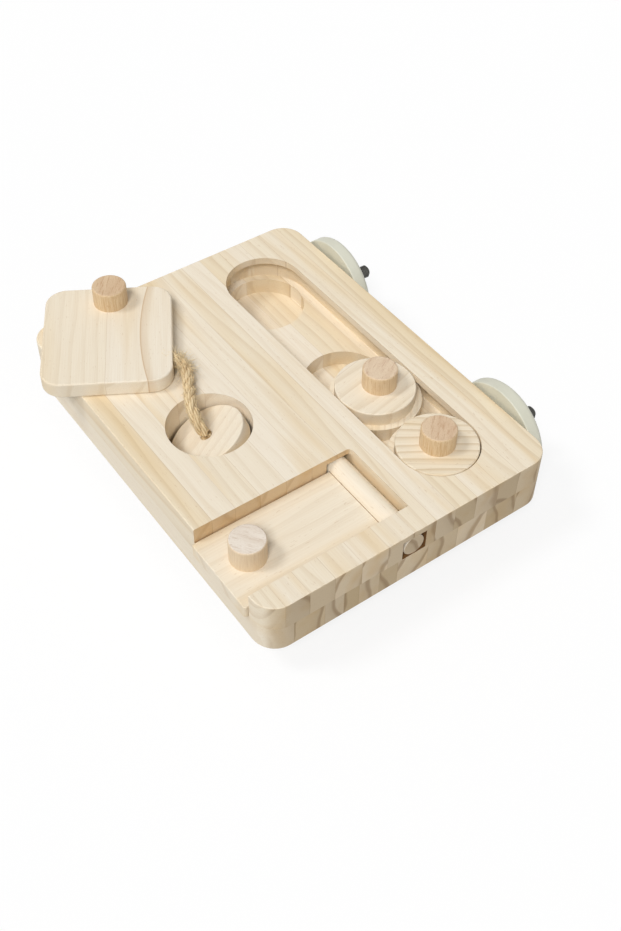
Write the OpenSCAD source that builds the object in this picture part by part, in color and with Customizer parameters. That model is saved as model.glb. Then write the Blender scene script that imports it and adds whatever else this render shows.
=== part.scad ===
// Wooden foraging toy: a two-layer board with a sliding lane, a flip lid and a tethered lid.
// Millimetres. The origin is the middle of the board's underside, +X runs to the cage edge, +Z up.

/* [Board] */
// width across the board, X
board_w = 135; // [120:1:170]
// length along the board, Y
board_l = 180; // [172:1:240]
// thickness of each of the two glued layers
layer_t = 12.5; // [12:0.5:18]
// radius of the four upright corners
corner_r = 10; // [4:0.5:20]
// radius of the board's upper and lower edges
edge_r = 0.5; // [0.3:0.1:2]

/* [Treat pockets] */
// diameter of the lane's pockets and of the round hole
pocket_d = 35; // [30:0.5:37]
// depth of every pocket below the top of the lower layer
pocket_depth = 7.5; // [5:0.5:9]
// diameter of the pocket under the flip lid
flip_pocket_d = 30; // [20:0.5:34]

/* [Lane] */
// distance of the lane's end pockets from the board's ends
lane_end = 30; // [26:0.5:36]
// width of the lane between its lips
slot_w = 34.6; // [30:0.2:37]
// reach of each lip over the undercut
lip_reach = 3.5; // [2.5:0.1:4.5]
// thickness of the lips
lip_t = 3.25; // [2.5:0.25:5.5]

/* [Sliders] */
// gap round the upper disc in the lane
disc_gap = 0.5; // [0.3:0.1:1]
// gap round the flange in the undercut
flange_gap = 1.2; // [0.6:0.1:1.8]
// gap between the flange and the lips
lip_gap = 2.9; // [0.5:0.1:3.5]
// gap between the two flanges where they meet
meet_gap = 0.5; // [0.3:0.1:1]
// distance of the middle knob from the middle of its disc
middle_knob_off = 2; // [0:0.25:3]
// radius of the upper edge of a slider's disc
disc_edge_r = 0.6; // [0.3:0.1:1.5]

/* [Knobs] */
// diameter of the knobs
knob_d = 14.5; // [10:0.5:18]
// height that a knob stands proud
knob_h = 8.8; // [6:0.1:14]
// height that the flip lid's knob stands proud
flip_knob_h = 10.4; // [6:0.1:14]
// depth that a knob is let in
knob_let = 2; // [1:0.25:3]
// radius of a knob's top edge
knob_edge_r = 0.8; // [0.3:0.1:2]

/* [Flip lid] */
// width of the rail in front of the recess
rail_w = 11.6; // [8:0.2:16]
// length of the recess along the board
recess_l = 36.2; // [35:0.2:44]
// thickness of the lid panel
panel_t = 5.6; // [4:0.2:7]
// gap between the panel and the recess at each end
panel_gap = 0.5; // [0.3:0.1:1]
// distance that the panel stands out past the board's left edge
panel_over = 1.6; // [0:0.1:4]
// radius of the panel's upright corners
panel_r = 0.9; // [0.6:0.1:3]
// radius of the panel's upper edges
panel_edge_r = 0.4; // [0.2:0.1:0.7]
// radius of the recess's far corner beside the dowel
recess_r = 2; // [1:0.25:4]
// distance of the knob from the board's left edge
flip_knob_in = 12.5; // [9:0.1:20]
// distance of the knob from the panel's middle line
flip_knob_off = 1; // [0:0.25:3]
// diameter of the hinge dowel
dowel_d = 9.4; // [7:0.2:10.4]
// radius of the edge of the dowel's front end
dowel_edge_r = 0.4; // [0.2:0.1:1]
// distance of the hinge dowel left of the board's middle line
dowel_in = 1.3; // [0:0.1:3]
// side gap of the dowel in its channel
channel_gap = 0.9; // [0.4:0.05:1.2]
// depth that the dowel sits behind the front face
dowel_inset = 0.2; // [0.1:0.1:2]
// length of the dowel past the recess's far wall
dowel_tail = 7; // [4:0.5:12]

/* [Tethered lid] */
// width of the lid plate
plate_w = 53.6; // [46:0.2:60]
// length of the lid plate
plate_l = 59.3; // [52:0.1:66]
// thickness of the lid plate
plate_t = 7; // [6:0.25:10]
// radius of the plate's corners
plate_r = 9; // [3:0.5:14]
// radius of the plate's upper and lower edges
plate_edge_r = 0.7; // [0.3:0.1:2.5]
// distance of the knob from the plate's far edge
plate_knob_in = 9; // [9:0.2:14]
// distance of the knob from the plate's middle line
plate_knob_off = 1; // [0:0.25:3]

/* [Plug and rope] */
// gap round the plug in its pocket
plug_gap = 1; // [0.8:0.1:2]
// thickness of the plug
plug_t = 7; // [4:0.25:8]
// radius of the plug's edges
plug_edge_r = 0.6; // [0.3:0.1:1.5]
// diameter of the rope
rope_d = 5; // [3:0.25:5]
// gap round the rope in its bores
bore_gap = 0.15; // [0.1:0.05:0.3]
// diameter of the knot that props the plug
knot_d = 7.75; // [6.5:0.25:9]

/* [Cage clamps] */
// diameter of the studs
stud_d = 6; // [4:0.5:8]
// distance of each stud from the board's middle
stud_pitch = 57.25; // [40:0.25:70]
// depth of a stud in the board
stud_depth = 11; // [8:0.5:11]
// height of the studs above the board's underside
stud_z = 7.75; // [5:0.25:8.5]
// length of a stud outside the board
stud_out = 23; // [20:0.5:30]
// diameter of the clamp nuts
nut_d = 45.5; // [35:0.5:50]
// thickness of the clamp nuts at the rim
nut_t = 6.4; // [5:0.1:8]
// radius of the clamp nuts' outer rim edge
nut_edge_r = 2.2; // [1:0.1:3]
// radius of the clamp nuts' rim edge on the board's side
nut_face_r = 0.5; // [0.3:0.1:1.5]
// gap between the board and a clamp nut
nut_gap = 1.2; // [1:0.1:6]
// diameter of a clamp nut's hub
hub_d = 14; // [11:0.5:20]
// length of a clamp nut's hub
hub_l = 6; // [3:0.25:9]
// gap round a stud in its clamp nut
thread_gap = 0.3; // [0.2:0.05:0.6]

/* [Hidden] */
$fn = 96;

// gap under pieces that slide or rest
rest_gap = 0.1;
// overshoot of a cut past the face that it breaks through
cut = 1;

board_h = 2 * layer_t;
front_y = -board_l / 2;
left_x = -board_w / 2;
edge_x = board_w / 2;

// pockets stand in two rows, each down the middle of one half of the board
row_x = board_w / 4;
pocket_floor = layer_t - pocket_depth;
pocket_pitch = board_l / 2 - lane_end;

// lane and sliders
undercut_w = slot_w + 2 * lip_reach;
disc_d = slot_w - 2 * disc_gap;
flange_d = undercut_w - 2 * flange_gap;
flange_z = layer_t + rest_gap;
flange_t = layer_t - lip_t - lip_gap - rest_gap;
disc_z = flange_z + flange_t;
disc_t = board_h - disc_z;
near_y = -pocket_pitch;
middle_y = near_y + flange_d + meet_gap;

// flip lid, with a cove along its hinge edge that wraps the dowel
recess_y0 = front_y + rail_w;
recess_mid_y = recess_y0 + recess_l / 2;
recess_y1 = recess_y0 + recess_l;
dowel_r = dowel_d / 2;
dowel_z = layer_t + rest_gap + dowel_r;
dowel_y0 = front_y + dowel_inset;
dowel_y1 = recess_y1 + dowel_tail;
channel_w = dowel_d + 2 * channel_gap;
channel_top = dowel_z + dowel_r + 2 * rest_gap;
recess_x1 = -dowel_in + channel_w / 2;
cove_wrap = 0.8;
panel_x0 = left_x - panel_over;
panel_x1 = -dowel_in - cove_wrap * dowel_r;
panel_z = layer_t + rest_gap;
panel_top = panel_z + panel_t;
panel_w = -dowel_in - panel_x0;
flip_knob_x = left_x + flip_knob_in;
flip_knob_y = recess_mid_y + flip_knob_off;

// plug, which leans over its knot until its low edge meets the pocket's floor
plug_d = pocket_d - 2 * plug_gap;
plug_turn = 140;
knot_sink = 0.2;
knot_reach = knot_d / 2 - knot_sink;
plug_lean = atan2(knot_reach, plug_d / 2) + asin(knot_d / 2 / norm([plug_d / 2, knot_reach]));
plug_z = pocket_floor + 2 * rest_gap + plug_t / 2 * cos(plug_lean) + plug_d / 2 * sin(plug_lean);
rope_bore_d = rope_d + 2 * bore_gap;

// tethered lid: the middle of its right edge, measured from the round pocket, and its turn
plate_turn = -30.5;
plate_edge = [13.4, 49.1];
plate_z = board_h + rest_gap;
plate_knob_y = plate_l / 2 - plate_knob_in;

// rope route from its bore in the plate's right edge to the plug: X and Y from the round pocket,
// and the height as a share of the climb from the plug to the middle of the plate's edge
rope_plan = [[4.75, 46.5, 1], [6.75, 38.5, 1], [7.55, 35, 0.99], [7.75, 31.5, 0.97],
             [7, 28, 0.94], [5.6, 24.8, 0.92], [4, 21.6, 0.91], [2.4, 18.4, 0.91],
             [0.7, 15.3, 0.92], [-0.9, 12.2, 0.92], [-2.1, 9.2, 0.88], [-2.75, 6.4, 0.75],
             [-2.85, 4.2, 0.53], [-2.35, 2.6, 0.28], [-1.5, 1.3, 0]];
rope_stand = 1;
rope_low = plug_z + (plug_t / 2 + rope_stand) * cos(plug_lean);
rope_high = plate_z + plate_t / 2;
rope_route = [for (p = rope_plan) [p.x - row_x, p.y, rope_low + p.z * (rope_high - rope_low)]];
rope_sides = 12;

// cage clamps
stud_r = stud_d / 2;
nut_x = edge_x + nut_gap;
nut_bore_r = stud_r + thread_gap;
// level in a clamp nut's rim between its two edges
nut_split = nut_t / 3;

// oblong r by h with its far corner eased by e: half of a section, from the middle line out to r
module eased_half(r, h, e) {
  square([r, h - e]);
  square([r - e, h]);
  translate([r - e, h - e]) intersection() {
    circle(e);
    square(e);
  }
}

// slab with upright corners of radius r and its upper edges eased by e: a strip along the middle,
// a strip along each end, and a quarter turn at each corner
module eased_slab(w, l, h, r, e) {
  rotate([90, 0, 0]) linear_extrude(l - 2 * r, center = true)
    for (s = [0, 1]) mirror([s, 0]) eased_half(w / 2, h, e);
  for (s = [0, 1]) mirror([0, s, 0]) translate([0, l / 2 - r, 0]) {
    rotate([90, 0, 90]) linear_extrude(w - 2 * r, center = true) eased_half(r, h, e);
    for (t = [0, 1]) mirror([t, 0, 0])
      translate([w / 2 - r, 0, 0]) rotate_extrude(angle = 90) eased_half(r, h, e);
  }
}

// one layer of the board, before its cuts, with its eased edges upward
module layer() {
  eased_slab(board_w, board_l, layer_t, corner_r, edge_r);
}

// cut for the flip lid, open at the board's left edge
module recess_cut() {
  translate([left_x - cut, recess_y0, layer_t - cut]) linear_extrude(layer_t + 2 * cut)
    eased_half(recess_x1 - left_x + cut, recess_l, recess_r);
}

// long cut with round ends along the lane
module lane_cut(w, z, h) {
  translate([row_x, 0, z]) {
    for (y = [-1, 1]) translate([0, y * pocket_pitch, 0]) cylinder(d = w, h = h);
    translate([-w / 2, -pocket_pitch, 0]) cube([w, 2 * pocket_pitch, h]);
  }
}

// blind pocket in the lower layer
module pocket(x, y, d) {
  translate([x, y, pocket_floor]) cylinder(d = d, h = pocket_depth + cut);
}

// knob of beech dowel that stands proud of a face at height z
module knob(x, y, z, proud) {
  color("#dcc3a4") translate([x, y, z - knob_let]) rotate_extrude()
    eased_half(knob_d / 2, proud + knob_let, knob_edge_r);
}

// shallow bore that a knob is let into
module knob_bore(x, y, z) {
  translate([x, y, z - knob_let]) cylinder(d = knob_d, h = knob_let + cut);
}

// place on a stud's axis, with +Z turned along it
module at_stud(y, x) {
  translate([x, y, stud_z]) rotate([0, 90, 0]) children();
}

// frame of the tethered lid, at the middle of its underside
module at_plate() {
  translate([plate_edge.x - row_x, plate_edge.y, plate_z]) rotate([0, 0, plate_turn])
    translate([-plate_w / 2, 0, 0]) children();
}

// frame of the leaning plug, at its middle
module at_plug() {
  translate([-row_x, 0, plug_z]) rotate([0, 0, plug_turn]) rotate([0, plug_lean, 0]) children();
}

module base_board() {
  color("#ecdcbc") difference() {
    translate([0, 0, layer_t]) mirror([0, 0, 1]) layer();
    for (y = [-1, 0, 1]) pocket(row_x, y * pocket_pitch, pocket_d);
    pocket(-row_x, 0, pocket_d);
    pocket(-row_x, recess_mid_y, flip_pocket_d);
    for (y = [-1, 1])
      at_stud(y * stud_pitch, edge_x - stud_depth) cylinder(d = stud_d, h = stud_depth + cut);
  }
}

module top_board() {
  color("#efdfbf") difference() {
    translate([0, 0, layer_t]) layer();
    lane_cut(slot_w, layer_t - cut, layer_t + 2 * cut);
    lane_cut(undercut_w, layer_t - cut, layer_t - lip_t + cut);
    translate([-row_x, 0, layer_t - cut]) cylinder(d = pocket_d, h = layer_t + 2 * cut);
    recess_cut();
    translate([-dowel_in - channel_w / 2, front_y - cut, layer_t - cut])
      cube([channel_w, dowel_y1 + rest_gap - front_y + cut, channel_top - layer_t + cut]);
  }
}

// panel that runs on to the dowel's middle line, and is cut back there to its cove
module flip_panel() {
  color("#f1e3c6") difference() {
    translate([panel_x0 + panel_w / 2, recess_mid_y, panel_z])
      eased_slab(panel_w, recess_l - 2 * panel_gap, panel_t, panel_r, panel_edge_r);
    translate([panel_x1, recess_y0, layer_t]) cube([dowel_r, recess_l, layer_t]);
    dowel_solid();
    knob_bore(flip_knob_x, flip_knob_y, panel_top);
  }
}

module flip_knob() {
  knob(flip_knob_x, flip_knob_y, panel_top, flip_knob_h);
}

module dowel_solid() {
  translate([-dowel_in, dowel_y1, dowel_z]) rotate([90, 0, 0]) rotate_extrude()
    eased_half(dowel_r, dowel_y1 - dowel_y0, dowel_edge_r);
}

module hinge_dowel() {
  color("#f3e6cc") dowel_solid();
}

module slider_flange(y) {
  color("#d9bd8e") translate([row_x, y, flange_z]) cylinder(d = flange_d, h = flange_t);
}

module slider_disc(y, knob_off) {
  color("#eddcbb") difference() {
    translate([row_x, y, disc_z]) rotate_extrude() eased_half(disc_d / 2, disc_t, disc_edge_r);
    knob_bore(row_x + knob_off, y, board_h);
  }
}

module near_flange() {
  slider_flange(near_y);
}

module near_disc() {
  slider_disc(near_y, 0);
}

module near_knob() {
  knob(row_x, near_y, board_h, knob_h);
}

module middle_flange() {
  slider_flange(middle_y);
}

module middle_disc() {
  slider_disc(middle_y, middle_knob_off);
}

module middle_knob() {
  knob(row_x + middle_knob_off, middle_y, board_h, knob_h);
}

// bore along the first stretch of the rope's route, on past the plate's edge
module rope_end_bore() {
  run = rope_route[1] - rope_route[0];
  translate(rope_route[0]) rotate([0, 0, atan2(run.y, run.x)]) rotate([0, 90, 0])
    cylinder(d = rope_bore_d, h = norm(run) + rope_d);
}

module tether_plate() {
  color("#efe0c2") difference() {
    at_plate() translate([0, 0, plate_t / 2]) for (s = [0, 1]) mirror([0, 0, s])
      eased_slab(plate_w, plate_l, plate_t / 2, plate_r, plate_edge_r);
    at_plate() knob_bore(plate_knob_off, plate_knob_y, plate_t);
    rope_end_bore();
  }
}

module tether_knob() {
  at_plate() knob(plate_knob_off, plate_knob_y, plate_t, knob_h);
}

// direction of the rope at point i of its route
function rope_way(i) =
  let(a = rope_route[max(i - 1, 0)], b = rope_route[min(i + 1, len(rope_route) - 1)])
  (b - a) / norm(b - a);

// ring of points round the rope at point i of its route
function rope_ring(i) =
  let(way = rope_way(i), side = cross(way, [1, 0, 0]), u = side / norm(side), v = cross(way, u))
  [for (k = [0:rope_sides - 1])
    let(a = 360 * k / rope_sides)
    rope_route[i] + rope_d / 2 * (cos(a) * u + sin(a) * v)];

module tether_rope() {
  n = len(rope_route);
  last = (n - 1) * rope_sides;
  points = [for (i = [0:n - 1]) each rope_ring(i)];
  walls = [for (i = [0:n - 2], k = [0:rope_sides - 1])
    let(a = i * rope_sides + k, b = i * rope_sides + (k + 1) % rope_sides)
    each [[a, b, b + rope_sides], [a, b + rope_sides, a + rope_sides]]];
  start_cap = [for (k = [1:rope_sides - 2]) [0, k + 1, k]];
  end_cap = [for (k = [1:rope_sides - 2]) [last, last + k, last + k + 1]];
  color("#c6a169") polyhedron(points = points, faces = concat(walls, start_cap, end_cap));
}

module tether_plug() {
  color("#eddcbb") at_plug() difference() {
    for (s = [0, 1]) mirror([0, 0, s])
      rotate_extrude() eased_half(plug_d / 2, plug_t / 2, plug_edge_r);
    cylinder(d = rope_bore_d, h = plug_t + 2 * cut, center = true);
  }
}

// rope's end through the plug, and its knot
module rope_knot() {
  color("#b98f57") at_plug() translate([0, 0, -plug_t / 2 - knot_reach]) {
    sphere(d = knot_d);
    cylinder(d = rope_d, h = knot_reach + plug_t);
  }
}

// stud with a domed tip
module stud(y) {
  straight = stud_depth + stud_out - stud_r;
  color("#a9abad") at_stud(y, edge_x - stud_depth) {
    cylinder(r = stud_r, h = straight);
    translate([0, 0, straight]) sphere(r = stud_r);
  }
}

module front_stud() {
  stud(-stud_pitch);
}

module rear_stud() {
  stud(stud_pitch);
}

// clamp nut: a disc with a rounded rim, and a hub on its outer side
module clamp_nut(y) {
  length = nut_t + hub_l;
  color("#e9e4cf") at_stud(y, nut_x) rotate_extrude() difference() {
    union() {
      translate([0, nut_split]) eased_half(nut_d / 2, nut_t - nut_split, nut_edge_r);
      translate([0, nut_split]) mirror([0, 1]) eased_half(nut_d / 2, nut_split, nut_face_r);
      eased_half(hub_d / 2, length, nut_face_r);
    }
    translate([0, -cut]) square([nut_bore_r, length + 2 * cut]);
  }
}

module front_clamp_nut() {
  clamp_nut(-stud_pitch);
}

module rear_clamp_nut() {
  clamp_nut(stud_pitch);
}

base_board();
top_board();
flip_panel();
flip_knob();
hinge_dowel();
near_flange();
near_disc();
near_knob();
middle_flange();
middle_disc();
middle_knob();
tether_plate();
tether_knob();
tether_rope();
tether_plug();
rope_knot();
front_stud();
rear_stud();
front_clamp_nut();
rear_clamp_nut();
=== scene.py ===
import math
import random

import bmesh
import bpy
from mathutils import Matrix, Vector


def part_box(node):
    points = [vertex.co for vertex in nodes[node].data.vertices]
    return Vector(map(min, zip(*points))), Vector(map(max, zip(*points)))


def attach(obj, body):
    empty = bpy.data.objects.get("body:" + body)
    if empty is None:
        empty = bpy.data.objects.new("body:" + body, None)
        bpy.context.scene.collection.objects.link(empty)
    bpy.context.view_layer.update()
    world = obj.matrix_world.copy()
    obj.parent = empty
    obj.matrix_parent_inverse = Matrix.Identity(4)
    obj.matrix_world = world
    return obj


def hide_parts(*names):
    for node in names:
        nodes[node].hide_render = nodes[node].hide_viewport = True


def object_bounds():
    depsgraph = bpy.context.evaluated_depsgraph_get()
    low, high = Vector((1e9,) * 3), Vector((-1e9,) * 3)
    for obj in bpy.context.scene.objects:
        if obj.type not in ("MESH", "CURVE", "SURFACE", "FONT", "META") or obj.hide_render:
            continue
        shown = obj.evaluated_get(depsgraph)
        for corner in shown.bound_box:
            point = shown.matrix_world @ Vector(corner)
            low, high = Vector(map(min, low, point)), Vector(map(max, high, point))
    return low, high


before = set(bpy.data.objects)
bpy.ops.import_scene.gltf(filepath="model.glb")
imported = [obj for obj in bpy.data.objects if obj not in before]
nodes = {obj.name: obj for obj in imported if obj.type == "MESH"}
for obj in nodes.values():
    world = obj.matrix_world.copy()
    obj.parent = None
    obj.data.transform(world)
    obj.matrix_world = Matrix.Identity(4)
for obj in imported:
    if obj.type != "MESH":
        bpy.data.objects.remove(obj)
cad_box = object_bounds()
scene = bpy.context.scene

# Camera
# It looks down on the board's front left corner, from about half a metre.
# Its turn is given as azimuth, elevation and a slight roll.
azimuth, elevation, roll = (math.radians(a) for a in (-36.365, 47.855, 0.923))
camera_at = (-0.1989, -0.2924, 0.3701)
back = Vector((math.sin(azimuth) * math.cos(elevation),
               -math.cos(azimuth) * math.cos(elevation),
               math.sin(elevation)))
right = (-back).cross(Vector((0, 0, 1))).normalized()
up = right.cross(-back)
right, up = (math.cos(roll) * right + math.sin(roll) * up,
             math.cos(roll) * up - math.sin(roll) * right)
lens = bpy.data.cameras.new("camera")
lens.sensor_width = 36
lens.lens = 46.84
lens.clip_start = 0.01
camera = bpy.data.objects.new("camera", lens)
camera.matrix_world = (Matrix.Translation(camera_at)
                       @ Matrix((right, up, back)).transposed().to_4x4())
scene.collection.objects.link(camera)
scene.camera = camera
scene.view_settings.view_transform = "Standard"

# Tether rope
# A short jute rope of three strands, each twisted from coarse yarns, glued into the lid's edge.
# It runs close over the board's face and goes down into the leaning plug.
MM = 0.001


def linear(code):
    """A written sRGB colour as linear red, green, blue and alpha."""
    parts = [int(code[i:i + 2], 16) / 255 for i in (1, 3, 5)]
    return [c / 12.92 if c <= 0.04045 else ((c + 0.055) / 1.055) ** 2.4 for c in parts] + [1]


def add(tree, kind, inputs, stops=(), between="LINEAR", **settings):
    """One node with its settings, its inputs set or linked, and a ramp's stops of place and grey."""
    made = tree.nodes.new("ShaderNode" + kind)
    for key, value in settings.items():
        setattr(made, key, value)
    for key, value in inputs.items():
        if isinstance(value, bpy.types.Node):
            value = value.outputs[0]
        if isinstance(value, bpy.types.NodeSocket):
            tree.links.new(value, made.inputs[key])
        else:
            made.inputs[key].default_value = value
    for i, (place, grey) in enumerate(stops):
        made.color_ramp.interpolation = between
        stop = made.color_ramp.elements[i] if i < 2 else made.color_ramp.elements.new(place)
        stop.position = place
        stop.color = (grey, grey, grey, 1)
    return made


def material(name):
    """A new material, its tree and its shader."""
    made = bpy.data.materials.new(name)
    made.use_nodes = True
    return made, made.node_tree, made.node_tree.nodes["Principled BSDF"]


def smooth_line(points, steps):
    """Points in metres along a smooth curve through points in millimetres."""
    points = [Vector(p) * MM for p in points]
    ends = [2 * points[0] - points[1], *points, 2 * points[-1] - points[-2]]
    line = []
    for a, b, c, d in zip(ends, ends[1:], ends[2:], ends[3:]):
        for s in (k / steps for k in range(steps)):
            line.append(0.5 * (2 * b + (c - a) * s + (2 * a - 5 * b + 4 * c - d) * s ** 2
                               + (3 * b - a - 3 * c + d) * s ** 3))
    return line + [points[-1]]


def stations(line):
    """For each point of a line, the length so far and a frame whose Z runs along the line."""
    made, length = [], 0
    side = (line[1] - line[0]).orthogonal()
    for i, point in enumerate(line):
        way = (line[min(i + 1, len(line) - 1)] - line[max(i - 1, 0)]).normalized()
        side = (side - way * side.dot(way)).normalized()
        length += (point - line[max(i - 1, 0)]).length
        turn = Matrix((side, way.cross(side), way)).transposed().to_4x4()
        made.append((length, Matrix.Translation(point) @ turn))
    return made


def sweep(bm, line, radius, ridges=0, twist=0.0, taper=0.0, tone=1.0):
    """Draws a ring along a line: ridged like yarns, twisted by so many radians a metre, tapered.
    The vertices keep the tone, and painted shade makes it darker in the grooves between the ridges."""
    # Painted shade: the grooves keep a quarter of the strand's tone
    groove_share, groove_shade, plain_sides = 0.84, 0.25, 3
    shade = bm.verts.layers.float.get("tone") or bm.verts.layers.float.new("tone")
    frames = [spot @ Matrix.Rotation(twist * length, 4, "Z")
              @ Matrix.Diagonal((1 - taper * i / len(line),) * 2 + (1, 1))
              for i, (length, spot) in enumerate(stations(line))]
    ring = bmesh.ops.create_circle(bm, cap_ends=True, segments=2 * ridges or plain_sides,
                                   radius=radius)["verts"]
    edges = {e for v in ring for e in v.link_edges}
    for i, v in enumerate(ring):
        groove = ridges and i % 2
        v.co *= groove_share if groove else 1
        v[shade] = tone * (groove_shade if groove else 1)
    bmesh.ops.transform(bm, matrix=frames[0], verts=ring)
    for before, after in zip(frames, frames[1:]):
        grown = bmesh.ops.extrude_edge_only(bm, edges=list(edges))["geom"]
        ring = {g for g in grown if isinstance(g, bmesh.types.BMVert)}
        edges = {g for g in grown if isinstance(g, bmesh.types.BMEdge) and set(g.verts) <= ring}
        bmesh.ops.transform(bm, matrix=after @ before.inverted(), verts=list(ring))
    bmesh.ops.contextual_create(bm, geom=list(edges))


def strands(bm, line, radius, lay):
    """Three strands laid round a line, each ridged by its yarns, which twist the other way."""
    strand_r, orbit, yarns, yarn_twist = 0.54 * radius, 0.46 * radius, 6, -0.3 / MM
    for k, tone in enumerate((0.9, 1.0, 0.85)):
        winding = [spot @ Vector((orbit * math.cos(a), orbit * math.sin(a), 0))
                   for length, spot in stations(line)
                   for a in [2 * math.pi * (length / lay + k / 3)]]
        sweep(bm, winding, strand_r, ridges=yarns, twist=yarn_twist, tone=tone)


def piece(name, bm, made, body):
    """Makes the mesh a smooth piece of that material on that body."""
    bmesh.ops.recalc_face_normals(bm, faces=bm.faces)
    mesh = bpy.data.meshes.new(name)
    bm.to_mesh(mesh)
    bm.free()
    mesh.polygons.foreach_set("use_smooth", [True] * len(mesh.polygons))
    mesh.materials.append(made)
    obj = bpy.data.objects.new(name, mesh)
    scene.collection.objects.link(obj)
    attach(obj, body)
    return obj


# Jute, spun and unbleached: dull golden yarns, with a painted highlight on the crests and painted
# shade in the grooves, with hairs about 0.35 mm wide and paler patches some 3 mm long.
jute, tree, shader = material("jute")
coords = add(tree, "TexCoord", {})
yarn_tone_and_shade = add(tree, "Attribute", {}, attribute_name="tone")
hairs = add(tree, "TexNoise", {"Vector": coords.outputs["Object"], "Scale": 1 / (0.35 * MM),
                               "Detail": 3, "Roughness": 0.6})
patches = add(tree, "TexNoise", {"Vector": coords.outputs["Object"], "Scale": 1 / (3 * MM)})
# Painted highlight on the crests and painted shade in the grooves, mixed by each vertex's tone
colour = add(tree, "MixRGB", {0: yarn_tone_and_shade.outputs["Fac"], 1: linear("#A0783F"), 2: linear("#FFEDC6")})
share = add(tree, "MapRange", {"Value": hairs, "From Min": 0.45, "From Max": 0.7, "To Max": 0.3})
colour = add(tree, "MixRGB", {0: share, 1: colour, 2: linear("#C0985A")})
share = add(tree, "MapRange", {"Value": patches, "From Min": 0.5, "From Max": 0.7, "To Max": 0.5})
colour = add(tree, "MixRGB", {0: share, 1: colour, 2: linear("#FCE2B4")})
tree.links.new(colour.outputs[0], shader.inputs["Base Color"])
relief = add(tree, "Bump", {"Height": hairs, "Distance": 0.2 * MM, "Strength": 0.7})
tree.links.new(relief.outputs[0], shader.inputs["Normal"])
shader.inputs["Roughness"].default_value = 0.85
shader.inputs["IOR"].default_value = 1.4

rope_route = [(-29, 46.5, 28.6), (-27, 38.5, 28.6), (-26.2, 35, 28.51), (-26, 31.5, 28.33),
              (-26.75, 28, 28.06), (-28.15, 24.8, 27.88), (-29.75, 21.6, 27.79),
              (-31.35, 18.4, 27.79), (-33.05, 15.3, 27.88), (-34.65, 12.2, 27.88),
              (-35.85, 9.2, 27.52), (-36.5, 6.4, 26.35), (-36.6, 4.2, 24.36),
              (-36.1, 2.6, 22.11), (-35.25, 1.3, 19.59)]
rope_line = smooth_line(rope_route, 10)
rope_r, rope_lay = 2.5 * MM, 17 * MM
bm = bmesh.new()
strands(bm, rope_line, rope_r, rope_lay)
rope = piece("rope", bm, jute, "tethered_lid")
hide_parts("tether_rope")

# Loose fibres stand off the rope, more than half of them in a tuft where it leaves the lid.
# They are drawn about three times as thick as real ones, so that they show. Each group has a count,
# and the stretch of the rope, the lengths in millimetres and the lifts that its fibres are drawn from.
fibre_r = 0.1 * MM
tuft = (380, (10, 40), (2, 5.5), (0.2, 0.9))
strays = (340, (12, len(rope_line) - 14), (1.2, 4), (0.05, 0.3))
chance = random.Random(7)
rope_stations = stations(rope_line)
bm = bmesh.new()
for count, stretch, lengths, lifts in (tuft, strays):
    for _ in range(count):
        spot = rope_stations[chance.randrange(*stretch)][1]
        a = chance.uniform(0, 2 * math.pi)
        out = Vector((math.cos(a), math.sin(a), 0))
        way = Vector((0, 0, chance.choice((-1, 1))))
        reach = chance.uniform(*lengths) * MM
        lift = chance.uniform(*lifts)
        curl = Vector([chance.uniform(-0.3, 0.3) for _ in range(3)])
        hair = [spot @ (0.9 * rope_r * out + reach * (s * 0.8 * way + s * s * (lift * out + curl)))
                for s in (0, 0.25, 0.5, 0.75, 1)]
        sweep(bm, hair, fibre_r, taper=0.6, tone=chance.uniform(0.8, 1))
fibres = piece("rope_fibres", bm, jute, "tethered_lid")

# Knot
# The same rope goes through the plug's bore, packed in with loose yarn, and is tied under it.
# Two crossed turns of it make the ball that props the plug.
plug_at, plug_turn, plug_lean = (-33.75, 0, 15.53), 140, 25.81
packing_r, loop_r, loop_rope_r, loop_lay = (size * MM for size in (2.58, 2.1, 1.6, 9))
plug_spot = (Matrix.Translation(Vector(plug_at) * MM)
             @ Matrix.Rotation(math.radians(plug_turn), 4, "Z")
             @ Matrix.Rotation(math.radians(plug_lean), 4, "Y"))
bm = bmesh.new()
tail = [plug_spot @ Vector((0, 0, z * MM)) / MM for z in (3.5, 2, 0.5, -1, -2.5, -4, -5.2)]
strands(bm, smooth_line(tail, 6), rope_r, rope_lay)
packing = [plug_spot @ Vector((0, 0, z * MM)) for z in (3.2, 0, -3.2)]
sweep(bm, packing, packing_r, ridges=12, tone=0.6)
for tilt, drop in ((0.4, -6.1), (-0.4, -8.0)):
    loop_spot = plug_spot @ Matrix.Translation((0, 0, drop * MM)) @ Matrix.Rotation(tilt, 4, "X")
    loop = [loop_spot @ Vector((loop_r * math.cos(a), loop_r * math.sin(a), 0)) / MM
            for a in (math.pi * k / 8 for k in range(17))]
    strands(bm, smooth_line(loop, 3), loop_rope_r, loop_lay)
knot = piece("knot", bm, jute, "plug")
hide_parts("rope_knot")

# Board
# Two layers of pine, each glued up from narrow staves that run the board's length,
# planed and sanded. The pockets and the lane are routed before the layers are glued.
half_w, half_l = (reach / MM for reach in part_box("top_board")[1][:2])
corner_r = 10
corner_y = half_l - corner_r
sawn_from, sawn_full = corner_y + 0.5, corner_y + 3.5
routed_x, routed_y = half_w - 0.2, corner_y - 0.5
# Painted shade: a warm brown multiplied into the upright walls inside the board
painted_recess_tint = "#E3C79B"


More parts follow.
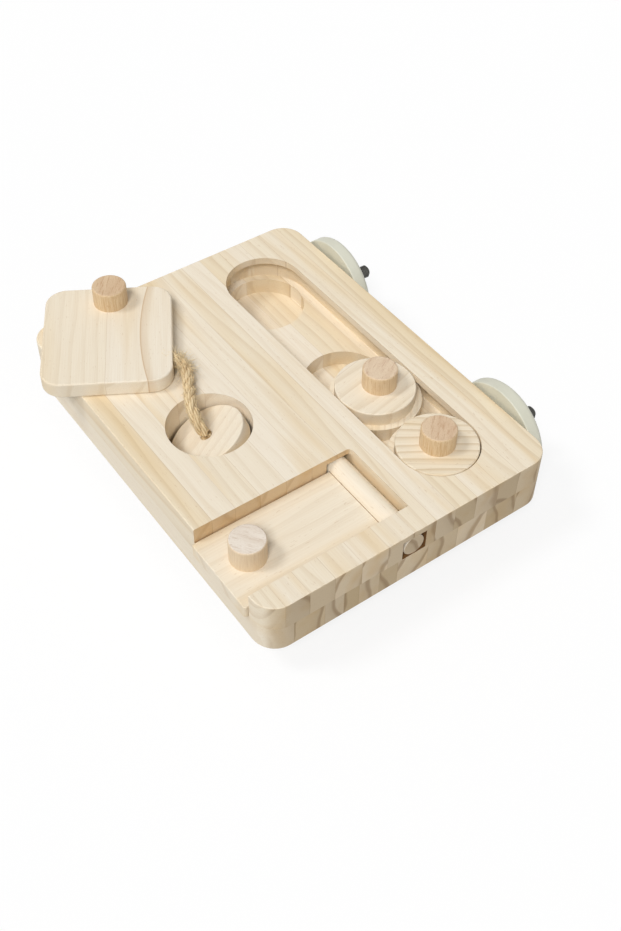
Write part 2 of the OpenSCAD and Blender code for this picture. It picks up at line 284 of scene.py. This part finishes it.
def pine(name, turn, seams, tones, ring_mm, mark, warm, shift, arch=None, inner_wall_shade="#FFFFFF",
         painted_bore=None, shaded_wall_y=None):
    """Sanded, unfinished pine: pale cream staves with straw-coloured rings, fibres, short resin
    lines and warm streaks. The grain is turned from Y by so many degrees. Seams are places across
    it in millimetres, and tones, from 0, pale, to 1, straw, are those of the staves between them.
    Mark is how strong the rings are and warm the streaks, and shift goes along to another cut.
    Rings are wider apart and darker where the grain is sawn across, and painted shade of the colour
    inner_wall_shade tints the walls inside the edges. An arch is one bold ring: its place, middle and
    bow. painted_bore is painted shade in a hole along Y: its middle, radius, start and end.
    shaded_wall_y is the place along Y of the wall that painted shade darkens most."""
    made, tree, shader = material(name)
    coords = add(tree, "TexCoord", {})
    angle = (0, 0, -math.radians(turn))
    flat = add(tree, "Mapping", {"Vector": coords.outputs["Object"], "Rotation": angle,
                                 "Scale": (1 / MM,) * 3})
    facing = add(tree, "Mapping", {"Vector": coords.outputs["Normal"], "Rotation": angle},
                 vector_type="VECTOR")
    across, along, _ = add(tree, "SeparateXYZ", {0: flat}).outputs
    _, facing_along, facing_up = add(tree, "SeparateXYZ", {0: facing}).outputs

    # Each stave has a tone, and is cut from another part of the tree
    span, seam_mm, apart = 110, 0.25, (0, 900, 310)
    stave_at = add(tree, "MapRange", {"Value": across, "From Min": -span, "From Max": span})
    beside = add(tree, "Math", {0: stave_at, 1: seam_mm / (2 * span)})
    steps = [(0, tones[0])] + [(0.5 + s / (2 * span), t) for s, t in zip(seams, tones[1:])]
    stave = add(tree, "ValToRGB", {0: stave_at}, steps, "CONSTANT")
    neighbour = add(tree, "ValToRGB", {0: beside}, steps, "CONSTANT")
    whole = add(tree, "Math", {0: stave, 1: neighbour, 2: 0.004}, operation="COMPARE")
    place = add(tree, "VectorMath", {0: stave, 1: apart, 2: flat}, operation="MULTIPLY_ADD")
    place = add(tree, "VectorMath", {0: place, 1: (0, shift, shift / 3)})
    lot = add(tree, "TexWhiteNoise", {"Vector": stave})

    # Patterns, each by its width and length in millimetres
    pattern = {}
    for what, wide, long, detail in (("drift", 28, 140, 2), ("fibre", 0.4, 22, 4),
                                     ("resin", 0.4, 2.6, 1), ("streak", 13, 130, 2)):
        spread = add(tree, "VectorMath", {0: place, 1: (1 / wide, 1 / long, 1 / wide)},
                     operation="MULTIPLY")
        pattern[what] = add(tree, "TexNoise", {"Vector": spread, "Scale": 1, "Detail": detail})

    # Rings, slanted differently in each stave, with a sharp late side
    wander, end_pace, tilt = 3.5, 0.42, 0.65
    end = add(tree, "Math", {0: facing_along}, operation="ABSOLUTE")
    end = add(tree, "MapRange", {"Value": end, "From Min": 0.45, "From Max": 0.95},
              interpolation_type="SMOOTHSTEP")
    slant = add(tree, "Math", {0: lot, 1: 2 * tilt, 2: -tilt}, operation="MULTIPLY_ADD")
    ring = add(tree, "VectorRotate", {"Vector": place, "Angle": slant}, rotation_type="Y_AXIS")
    ring = add(tree, "SeparateXYZ", {0: ring})
    ring = add(tree, "Math", {0: ring, 1: 1 / ring_mm}, operation="MULTIPLY")
    ring = add(tree, "Math", {0: pattern["drift"], 1: wander, 2: ring}, operation="MULTIPLY_ADD")
    on_face = add(tree, "Math", {0: ring}, operation="FRACT")
    on_face = add(tree, "ValToRGB", {0: on_face},
                  [(0, 0.1), (0.12, 0), (0.55, 0.12), (0.86, 0.85), (0.94, 1), (1, 0.15)])
    on_end = add(tree, "Math", {0: ring, 1: end_pace}, operation="MULTIPLY")
    on_end = add(tree, "Math", {0: on_end}, operation="FRACT")
    on_end = add(tree, "ValToRGB", {0: on_end},
                 [(0, 0.05), (0.5, 0.1), (0.76, 0.3), (0.86, 1), (0.94, 0.9), (1, 0.05)])
    late = add(tree, "MixRGB", {0: end, 1: on_face, 2: on_end})
    bold = add(tree, "MapRange", {"Value": stave, "From Min": 0.05, "From Max": 0.6, "To Min": 0.15})
    bold = add(tree, "MixRGB", {0: end, 1: bold, 2: (0.8, 0.8, 0.8, 1)})
    late = add(tree, "Math", {0: late, 1: bold}, operation="MULTIPLY")

    # Colour, from the stave's tone through streaks and rings down to fibres, resin and glue
    colour = add(tree, "MixRGB", {0: stave, 1: linear("#F5ECDC"), 2: linear("#E8D6B0")})
    share = add(tree, "MapRange", {"Value": pattern["streak"], "From Min": 0.48, "From Max": 0.72,
                                   "To Max": warm})
    colour = add(tree, "MixRGB", {0: share, 1: colour, 2: linear("#E2C48D")})
    sawn = add(tree, "Math", {0: along}, operation="ABSOLUTE")
    sawn = add(tree, "MapRange", {"Value": sawn, "From Min": sawn_from, "From Max": sawn_full})
    sawn = add(tree, "Math", {0: sawn, 1: end}, operation="MULTIPLY")
    share = add(tree, "MapRange", {"Value": sawn, "To Min": mark, "To Max": 0.7})
    share = add(tree, "Math", {0: late, 1: share}, operation="MULTIPLY")
    ringed = add(tree, "MixRGB", {0: sawn, 1: linear("#B99864"), 2: linear("#8A6638")})
    colour = add(tree, "MixRGB", {0: share, 1: colour, 2: ringed})
    if arch:
        ring_at, middle, bow = arch
        past = add(tree, "Math", {0: along, 1: -middle})
        past = add(tree, "Math", {0: past, 1: past}, operation="MULTIPLY")
        past = add(tree, "Math", {0: past, 1: -bow, 2: across}, operation="MULTIPLY_ADD")
        past = add(tree, "MapRange", {"Value": past, "From Min": ring_at - 1, "From Max": ring_at + 9})
        share = add(tree, "ValToRGB", {0: past},
                    [(0, 0), (0.09, 0), (0.11, 0.7), (0.16, 0.3), (0.5, 0)])
        colour = add(tree, "MixRGB", {0: share, 1: colour, 2: linear("#B98E55")})
    share = add(tree, "MapRange", {"Value": pattern["fibre"], "From Min": 0.7, "From Max": 0.3,
                                   "To Max": 0.16})
    colour = add(tree, "MixRGB", {0: share, 1: colour, 2: linear("#C9A877")})
    share = add(tree, "MapRange", {"Value": pattern["resin"], "From Min": 0.69, "From Max": 0.76,
                                   "To Max": 0.3})
    colour = add(tree, "MixRGB", {0: share, 1: colour, 2: linear("#B48C57")})
    glued = add(tree, "MixRGB", {0: 0.22, 1: colour, 2: linear("#A67F4E")})
    colour = add(tree, "MixRGB", {0: whole, 1: glued, 2: colour})

    # The board's sawn ends are duller, each stave by its own lot
    lot_tone = add(tree, "MixRGB", {0: 0.5, 1: stave, 2: lot})
    dull = add(tree, "MixRGB", {0: lot_tone, 1: linear("#F2EADD"), 2: linear("#BEB19C")})
    dull = add(tree, "MixRGB", {0: 1, 1: colour, 2: dull}, blend_type="MULTIPLY")

    # Painted shade tints the upright walls inside the edges, and more so across the grain
    # How strong the painted shade on the recess's far wall is
    painted_wall_darkness = 0.68
    upright = add(tree, "Math", {0: facing_up}, operation="ABSOLUTE")
    upright = add(tree, "MapRange", {"Value": upright, "From Min": 0.8, "From Max": 0.3})
    off_sides = add(tree, "Math", {0: across, 1: 0, 2: routed_x}, operation="COMPARE")
    off_ends = add(tree, "Math", {0: along, 1: 0, 2: routed_y}, operation="COMPARE")
    across_grain = add(tree, "MapRange", {"Value": end, "To Min": 0.45, "To Max": 1})
    share = add(tree, "MapRange", {"Value": lot, "To Min": 0.03, "To Max": 0.22})
    for limit in (across_grain, upright, off_sides, off_ends):
        share = add(tree, "Math", {0: share, 1: limit}, operation="MULTIPLY")
    # Painted shade darkens the far wall of the flip lid's recess most
    if shaded_wall_y is not None:
        wall_shade_mask = add(tree, "Math", {0: along, 1: shaded_wall_y, 2: 1}, operation="COMPARE")
        wall_shade_mask = add(tree, "Math", {0: wall_shade_mask, 1: end}, operation="MULTIPLY")
        wall_shade_mask = add(tree, "Math", {0: wall_shade_mask, 1: painted_wall_darkness}, operation="MULTIPLY")
        share = add(tree, "Math", {0: share, 1: wall_shade_mask}, operation="MAXIMUM")
    colour = add(tree, "MixRGB", {0: share, 1: colour, 2: linear(inner_wall_shade)}, blend_type="MULTIPLY")
    colour = add(tree, "MixRGB", {0: sawn, 1: colour, 2: dull})
    # Painted shade darkens the walls of the dowel's hole
    if painted_bore:
        x, z, radius, start, stop = painted_bore
        bore_shade_mask = add(tree, "VectorMath", {0: flat, 1: (1, 0, 1)}, operation="MULTIPLY")
        bore_shade_mask = add(tree, "VectorMath", {0: bore_shade_mask, 1: (x, 0, z)}, operation="DISTANCE")
        bore_shade_mask = add(tree, "Math", {0: bore_shade_mask.outputs["Value"], 1: radius}, operation="LESS_THAN")
        length = add(tree, "Math", {0: along, 1: (start + stop) / 2, 2: (stop - start) / 2},
                     operation="COMPARE")
        bore_shade_mask = add(tree, "Math", {0: bore_shade_mask, 1: length}, operation="MULTIPLY")
        colour = add(tree, "MixRGB", {0: bore_shade_mask, 1: colour, 2: linear("#7C5831")})
    tree.links.new(colour.outputs[0], shader.inputs["Base Color"])

    # Sanded smooth, with the fibres raised a little and the rings sunk
    rough = add(tree, "Math", {0: pattern["fibre"], 1: 0.2, 2: 0.52}, operation="MULTIPLY_ADD")
    tree.links.new(rough.outputs[0], shader.inputs["Roughness"])
    height = add(tree, "Math", {0: late, 1: -0.4, 2: pattern["fibre"]}, operation="MULTIPLY_ADD")
    relief = add(tree, "Bump", {"Height": height, "Distance": 0.06 * MM, "Strength": 0.7})
    tree.links.new(relief.outputs[0], shader.inputs["Normal"])
    shader.inputs["IOR"].default_value = 1.45
    return made


def dress(node, made):
    """Gives a CAD node its material."""
    nodes[node].data.materials.clear()
    nodes[node].data.materials.append(made)


# Painted shade darkens the dowel's hole in the front edge all round, out to the corners of its
# channel, and the wall at the far end of the flip lid's recess.
low, high = (Vector(corner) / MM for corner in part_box("hinge_dowel"))
axle, dowel_r = (low + high) / 2, (high.z - low.z) / 2
channel_corner, hole_inset, hole_depth, panel_gap = 2.9, 0.1, 11, 0.3
dowel_bore_shade = (axle.x, axle.z, dowel_r + channel_corner, hole_inset - half_l, hole_depth - half_l)
recess_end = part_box("flip_panel")[1][1] / MM + panel_gap
top_seams = (-60, -49.5, -38, -26.6, -14, -2.5, 8, 17.5, 28, 39, 49.5, 60)
top_tones = (0.35, 0.18, 0.3, 0.22, 0.1, 0.2, 0.34, 0.15, 0.46, 0.2, 0.36, 0.28, 0.5)
# The layers get painted shade on their inner walls and in the dowel's hole, and the top layer also on
# the recess's far wall
dress("top_board", pine("pine_top_layer", turn=0, seams=top_seams, tones=top_tones, ring_mm=5.5,
                        mark=0.36, warm=0.55, shift=0, inner_wall_shade=painted_recess_tint, painted_bore=dowel_bore_shade,
                        shaded_wall_y=recess_end))
base_seams = (-56, -42.5, -33.8, -27, -17.8, -9, 6, 20.5, 34.5, 50)
base_tones = (0.2, 0.5, 0.15, 0.66, 0.3, 0.55, 0.22, 0.4, 0.1, 0.48, 0.3)
dress("base_board", pine("pine_base_layer", turn=0, seams=base_seams, tones=base_tones, ring_mm=5,
                         mark=0.28, warm=0.4, shift=140, inner_wall_shade=painted_recess_tint, painted_bore=dowel_bore_shade))

# Flip lid
# A flat pine panel with its grain across the board, glued to a dowel that turns in a channel.
# The dowel's own grain runs along it, and a thin bead of brown glue shows beside it.
dress("flip_panel", pine("pine_flip_panel", turn=90, seams=(-100, 100), tones=(0.3, 0.22, 0.3),
                         ring_mm=6.5, mark=0.3, warm=0.4, shift=310))
dress("hinge_dowel", pine("pine_dowel", turn=0, seams=(-40, 40), tones=(0.3, 0.18, 0.3),
                          ring_mm=5, mark=0.15, warm=0.12, shift=420))

# Brown wood glue, squeezed out and wiped: a satin line, smeared lighter and darker every 2 mm.
glue, tree, shader = material("brown_glue")
coords = add(tree, "TexCoord", {})
smear = add(tree, "TexNoise", {"Vector": coords.outputs["Object"], "Scale": 1 / (2 * MM), "Detail": 3})
colour = add(tree, "MixRGB", {0: smear, 1: linear("#6E4E2C"), 2: linear("#B08A5A")})
tree.links.new(colour.outputs[0], shader.inputs["Base Color"])
shader.inputs["Roughness"].default_value = 0.5
bead_r = 0.18 * MM
low, high = (Vector(corner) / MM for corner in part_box("flip_panel"))
joint_x = axle.x - math.sqrt(dowel_r ** 2 - (high.z - axle.z) ** 2)
bead = [Vector((joint_x, y, high.z)) * MM for y in (low.y, (low.y + high.y) / 2, high.y)]
bm = bmesh.new()
sweep(bm, bead, bead_r, ridges=3)
piece("glue_bead", bm, glue, "flip_lid")

# Sliders
# Each is two turned pine discs glued together: a wide flange that stays under the lane's lips,
# and a narrower disc between them. The grain of each lies its own way.
for node, turn, seams, tones, ring_mm, mark, warm, shift in (
        ("near_flange", 20, (-20, 30), (0.5, 0.35, 0.6), 2.6, 0.4, 0.4, 510),
        ("near_disc", 54, (-40, 3), (0.4, 0.35, 0.5), 3.4, 0.7, 0.7, 560),
        ("middle_flange", -40, (-20, 6), (0.4, 0.6, 0.3), 2.6, 0.4, 0.4, 610),
        ("middle_disc", -78, (-40, 12), (0.2, 0.15, 0.25), 6, 0.5, 0.35, 660)):
    # The discs' upright walls get painted shade
    dress(node, pine("pine_" + node, turn, seams, tones, ring_mm, mark, warm, shift,
                     inner_wall_shade=painted_recess_tint))

# Tethered lid and plug
# The lid is a pine plate of two staves with the rope glued into its edge, and one bold ring.
# The plug is a turned pine disc that leans on the rope's knot in the round pocket.
dress("tether_plate", pine("pine_tether_plate", turn=-30.5, seams=(-120, -70.3),
                           tones=(0.2, 0.26, 0.1), ring_mm=6, mark=0.25, warm=0.28, shift=730,
                           arch=(-55.9, 32, 0.0036)))
# The plug's upright walls get painted shade too
dress("tether_plug", pine("pine_tether_plug", turn=-66, seams=(-60, 40), tones=(0.2, 0.2, 0.3),
                          ring_mm=6, mark=0.4, warm=0.5, shift=790, inner_wall_shade=painted_recess_tint))


# Knobs
# Four lengths of beech dowel with a broken edge, let into the lids and sliders on end.
# Sawn and sanded beech: a pinkish top full of pores and rays, and short flecks down the sides.
def beech(name, turn, ground, rays, pale):
    """Beech on end, with the colours of its sawn top, its rays turned, and its side made paler."""
    made, tree, shader = material(name)
    coords = add(tree, "TexCoord", {})
    turned = add(tree, "Mapping", {"Vector": coords.outputs["Object"], "Scale": (1 / MM,) * 3,
                                   "Rotation": (0, 0, -math.radians(turn))})

    # Patterns, each by its width, length and height in millimetres
    pattern = {}
    for what, wide, long, high, detail in (("streak", 0.4, 0.4, 8, 4), ("fleck", 0.3, 0.3, 1.5, 1),
                                           ("pore", 0.45, 0.7, 0.45, 3), ("ray", 0.6, 5, 0.6, 3),
                                           ("band", 4, 14, 4, 1)):
        spread = add(tree, "VectorMath", {0: turned, 1: (1 / wide, 1 / long, 1 / high)},
                     operation="MULTIPLY")
        pattern[what] = add(tree, "TexNoise", {"Vector": spread, "Scale": 1, "Detail": detail})

    # The side, along the grain
    share = add(tree, "MapRange", {"Value": pattern["streak"], "From Min": 0.7, "From Max": 0.3})
    side = add(tree, "MixRGB", {0: share, 1: linear("#E6CEA9"), 2: linear("#CDAB7E")})
    share = add(tree, "MapRange", {"Value": pattern["fleck"], "From Min": 0.6, "From Max": 0.7,
                                   "To Max": 0.35})
    side = add(tree, "MixRGB", {0: share, 1: side, 2: linear("#B98F62")})
    side = add(tree, "MixRGB", {0: pale, 1: side, 2: linear("#F0E0C8")})

    # The sawn top, across it
    top = linear(ground)
    for what, start, full, strength in (("pore", 0.48, 0.72, 0.3), ("ray", 0.54, 0.66, 0.5),
                                        ("band", 0.4, 0.7, 0.3)):
        share = add(tree, "MapRange", {"Value": pattern[what], "From Min": start, "From Max": full,
                                       "To Max": strength})
        top = add(tree, "MixRGB", {0: share, 1: top, 2: linear(rays)})
    end = add(tree, "SeparateXYZ", {0: coords.outputs["Normal"]}).outputs[2]
    end = add(tree, "MapRange", {"Value": end, "From Min": 0.6, "From Max": 0.95})
    colour = add(tree, "MixRGB", {0: end, 1: side, 2: top})
    tree.links.new(colour.outputs[0], shader.inputs["Base Color"])
    relief = add(tree, "Bump", {"Height": pattern["pore"], "Distance": 0.06 * MM, "Strength": 0.6})
    tree.links.new(relief.outputs[0], shader.inputs["Normal"])
    shader.inputs["Roughness"].default_value = 0.6
    shader.inputs["IOR"].default_value = 1.45
    return made


for knob, turn, ground, rays, pale in (("flip_knob", 35, "#EDE2D4", "#CBB6A0", 0.45),
                                       ("near_knob", -50, "#DEC5A6", "#B38764", 0),
                                       ("middle_knob", -60, "#E2CCB0", "#BA916F", 0.1),
                                       ("tether_knob", -42, "#DCC2A0", "#B3865F", 0)):
    dress(knob, beech("beech_" + knob, turn, ground, rays, pale))

# Clamp nuts
# Two round nuts moulded in ivory ABS, screwed along the studs against a cage's bars.
# The moulded face is satin and faintly mottled, with a fine grit.
ivory, tree, shader = material("moulded_ivory_abs")
coords = add(tree, "TexCoord", {})
mottle = add(tree, "TexNoise", {"Vector": coords.outputs["Object"], "Scale": 1 / (8 * MM), "Detail": 3})
grit = add(tree, "TexNoise", {"Vector": coords.outputs["Object"], "Scale": 1 / (0.25 * MM)})
colour = add(tree, "MixRGB", {0: mottle, 1: linear("#DDDCCD"), 2: linear("#CFCEBB")})
tree.links.new(colour.outputs[0], shader.inputs["Base Color"])
rough = add(tree, "Math", {0: grit, 1: 0.2, 2: 0.32}, operation="MULTIPLY_ADD")
tree.links.new(rough.outputs[0], shader.inputs["Roughness"])
relief = add(tree, "Bump", {"Height": grit, "Distance": 0.02 * MM, "Strength": 0.5})
tree.links.new(relief.outputs[0], shader.inputs["Normal"])
shader.inputs["IOR"].default_value = 1.53
for nut in ("front_clamp_nut", "rear_clamp_nut"):
    dress(nut, ivory)

# Studs
# Two plated steel hanger studs screwed into the lower layer's right edge.
# Each has a rolled thread of 1 mm pitch up to a low domed end. The plating is mottled by wear,
# and its dark greys are a painted reflection.
steel, tree, shader = material("plated_steel")
coords = add(tree, "TexCoord", {})
wear_and_reflection = add(tree, "TexNoise", {"Vector": coords.outputs["Object"], "Scale": 1 / (0.6 * MM), "Detail": 4})
# Dark greys of a painted reflection, mottled by the wear
colour = add(tree, "MixRGB", {0: wear_and_reflection, 1: linear("#75746F"), 2: linear("#302F2C")})
tree.links.new(colour.outputs[0], shader.inputs["Base Color"])
rough = add(tree, "Math", {0: wear_and_reflection, 1: 0.25, 2: 0.2}, operation="MULTIPLY_ADD")
tree.links.new(rough.outputs[0], shader.inputs["Roughness"])
shader.inputs["Metallic"].default_value = 1
crest, root, pitch, crown, blank_end, lap = 2.97, 2.4, 1.0, 1.2, 1.5, 0.05
turn_steps, arc_steps, weld, cut_reach = 24, 8, 0.001 * MM, 0.0001 * MM
for node in ("front_stud", "rear_stud"):
    low, high = (Vector(corner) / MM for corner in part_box(node))
    middle = (low + high) / 2
    y, stud_z, start, dome = middle.y, middle.z, low.x + blank_end, high.x - crown
    axis_point = Vector((0, y, stud_z)) * MM

    # The thread is one tooth turned along the stud, cut off square and capped
    bm = bmesh.new()
    turns = math.ceil((dome - start) / pitch) + 1
    tooth = [bm.verts.new(Vector((start - pitch + step * pitch, y, stud_z + r)) * MM)
             for step, r in ((0, root), (0.5, crest), (1, root))]
    sides = [bm.edges.new(tooth[:2]), bm.edges.new(tooth[1:])]
    bmesh.ops.spin(bm, geom=tooth + sides, cent=axis_point, axis=(1, 0, 0),
                   dvec=(pitch / turn_steps * MM, 0, 0), angle=2 * math.pi * turns,
                   steps=turn_steps * turns)
    bmesh.ops.remove_doubles(bm, verts=bm.verts, dist=weld)
    for x, outward in ((start, -1), (dome, 1)):
        bmesh.ops.bisect_plane(bm, geom=[*bm.verts, *bm.edges, *bm.faces], dist=cut_reach,
                               plane_co=(x * MM, 0, 0), plane_no=(outward, 0, 0), clear_outer=True)
    bmesh.ops.holes_fill(bm, edges=[e for e in bm.edges if e.is_boundary])

    # The dome is a quarter arc turned about the stud's axis
    base_x = dome - lap
    arc = [bm.verts.new(Vector((base_x + crown * math.sin(a), y, stud_z + root * math.cos(a))) * MM)
           for a in (math.pi / 2 / arc_steps * k for k in range(arc_steps + 1))]
    arc += [bm.verts.new(Vector((base_x, y, stud_z)) * MM)]
    rims = [bm.edges.new(pair) for pair in zip(arc[-1:] + arc, arc[:-1])]
    bmesh.ops.spin(bm, geom=arc + rims, cent=axis_point, axis=(1, 0, 0),
                   angle=2 * math.pi, steps=turn_steps, use_merge=True)
    bmesh.ops.remove_doubles(bm, verts=bm.verts, dist=weld)
    stud = piece(node + "_thread", bm, steel, "board")
    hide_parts(node)


# Floor, light and sky
# A plain floor just under the nuts, that the eye sees as white with a faint shadow.
# Two soft lamps, both from the left, one a little behind and one in front, and an even sky.
def eye_sees(tree):
    """1 for what the eye sees, straight or in gloss and glass, and 0 for what lights the object."""
    path = add(tree, "LightPath", {})
    seen = add(tree, "Math", {0: path.outputs["Is Camera Ray"], 1: path.outputs["Is Glossy Ray"]})
    return add(tree, "Math", {0: seen, 1: path.outputs["Is Transmission Ray"]}, use_clamp=True)


floor_half, floor_gap, floor_glow, sky_light = 9, 0.2 * MM, 0.8, 0.34
floor_made, tree, shader = material("white_floor")
shader.inputs["Roughness"].default_value = 1
seen = eye_sees(tree)
colour = add(tree, "MixRGB", {0: seen, 1: linear("#CCCCCC"), 2: linear("#FFFFFF")})
tree.links.new(colour.outputs[0], shader.inputs["Base Color"])
share = add(tree, "Math", {0: seen, 1: floor_glow}, operation="MULTIPLY")
glow = add(tree, "Emission", {"Color": (1, 1, 1, 1), "Strength": 1})
both = add(tree, "MixShader", {0: share, 1: shader.outputs[0], 2: glow})
tree.links.new(both.outputs[0], tree.nodes["Material Output"].inputs["Surface"])
bm = bmesh.new()
bmesh.ops.create_grid(bm, x_segments=1, y_segments=1, size=floor_half,
                      matrix=Matrix.Translation((0, 0, cad_box[0][2] - floor_gap)))
mesh = bpy.data.meshes.new("floor")
bm.to_mesh(mesh)
bm.free()
mesh.materials.append(floor_made)
floor = bpy.data.objects.new("floor", mesh)
scene.collection.objects.link(floor)
for name, strength, spread, way in (("key", 0.95, 16, (-0.48, 0.28, 0.83)),
                                    ("fill", 1.55, 18, (-0.48, -0.42, 0.77))):
    lamp = bpy.data.lights.new(name, "SUN")
    lamp.energy = strength
    lamp.angle = math.radians(spread)
    light = bpy.data.objects.new(name, lamp)
    light.rotation_euler = Vector(way).to_track_quat("Z", "Y").to_euler()
    scene.collection.objects.link(light)
sky = bpy.data.worlds.new("sky")
sky.use_nodes = True
scene.world = sky
tree = sky.node_tree
level = add(tree, "MapRange", {"Value": eye_sees(tree), "To Min": sky_light, "To Max": 1})
tree.links.new(level.outputs[0], tree.nodes["Background"].inputs["Strength"])
tree.nodes["Background"].inputs["Color"].default_value = (1, 1, 1, 1)
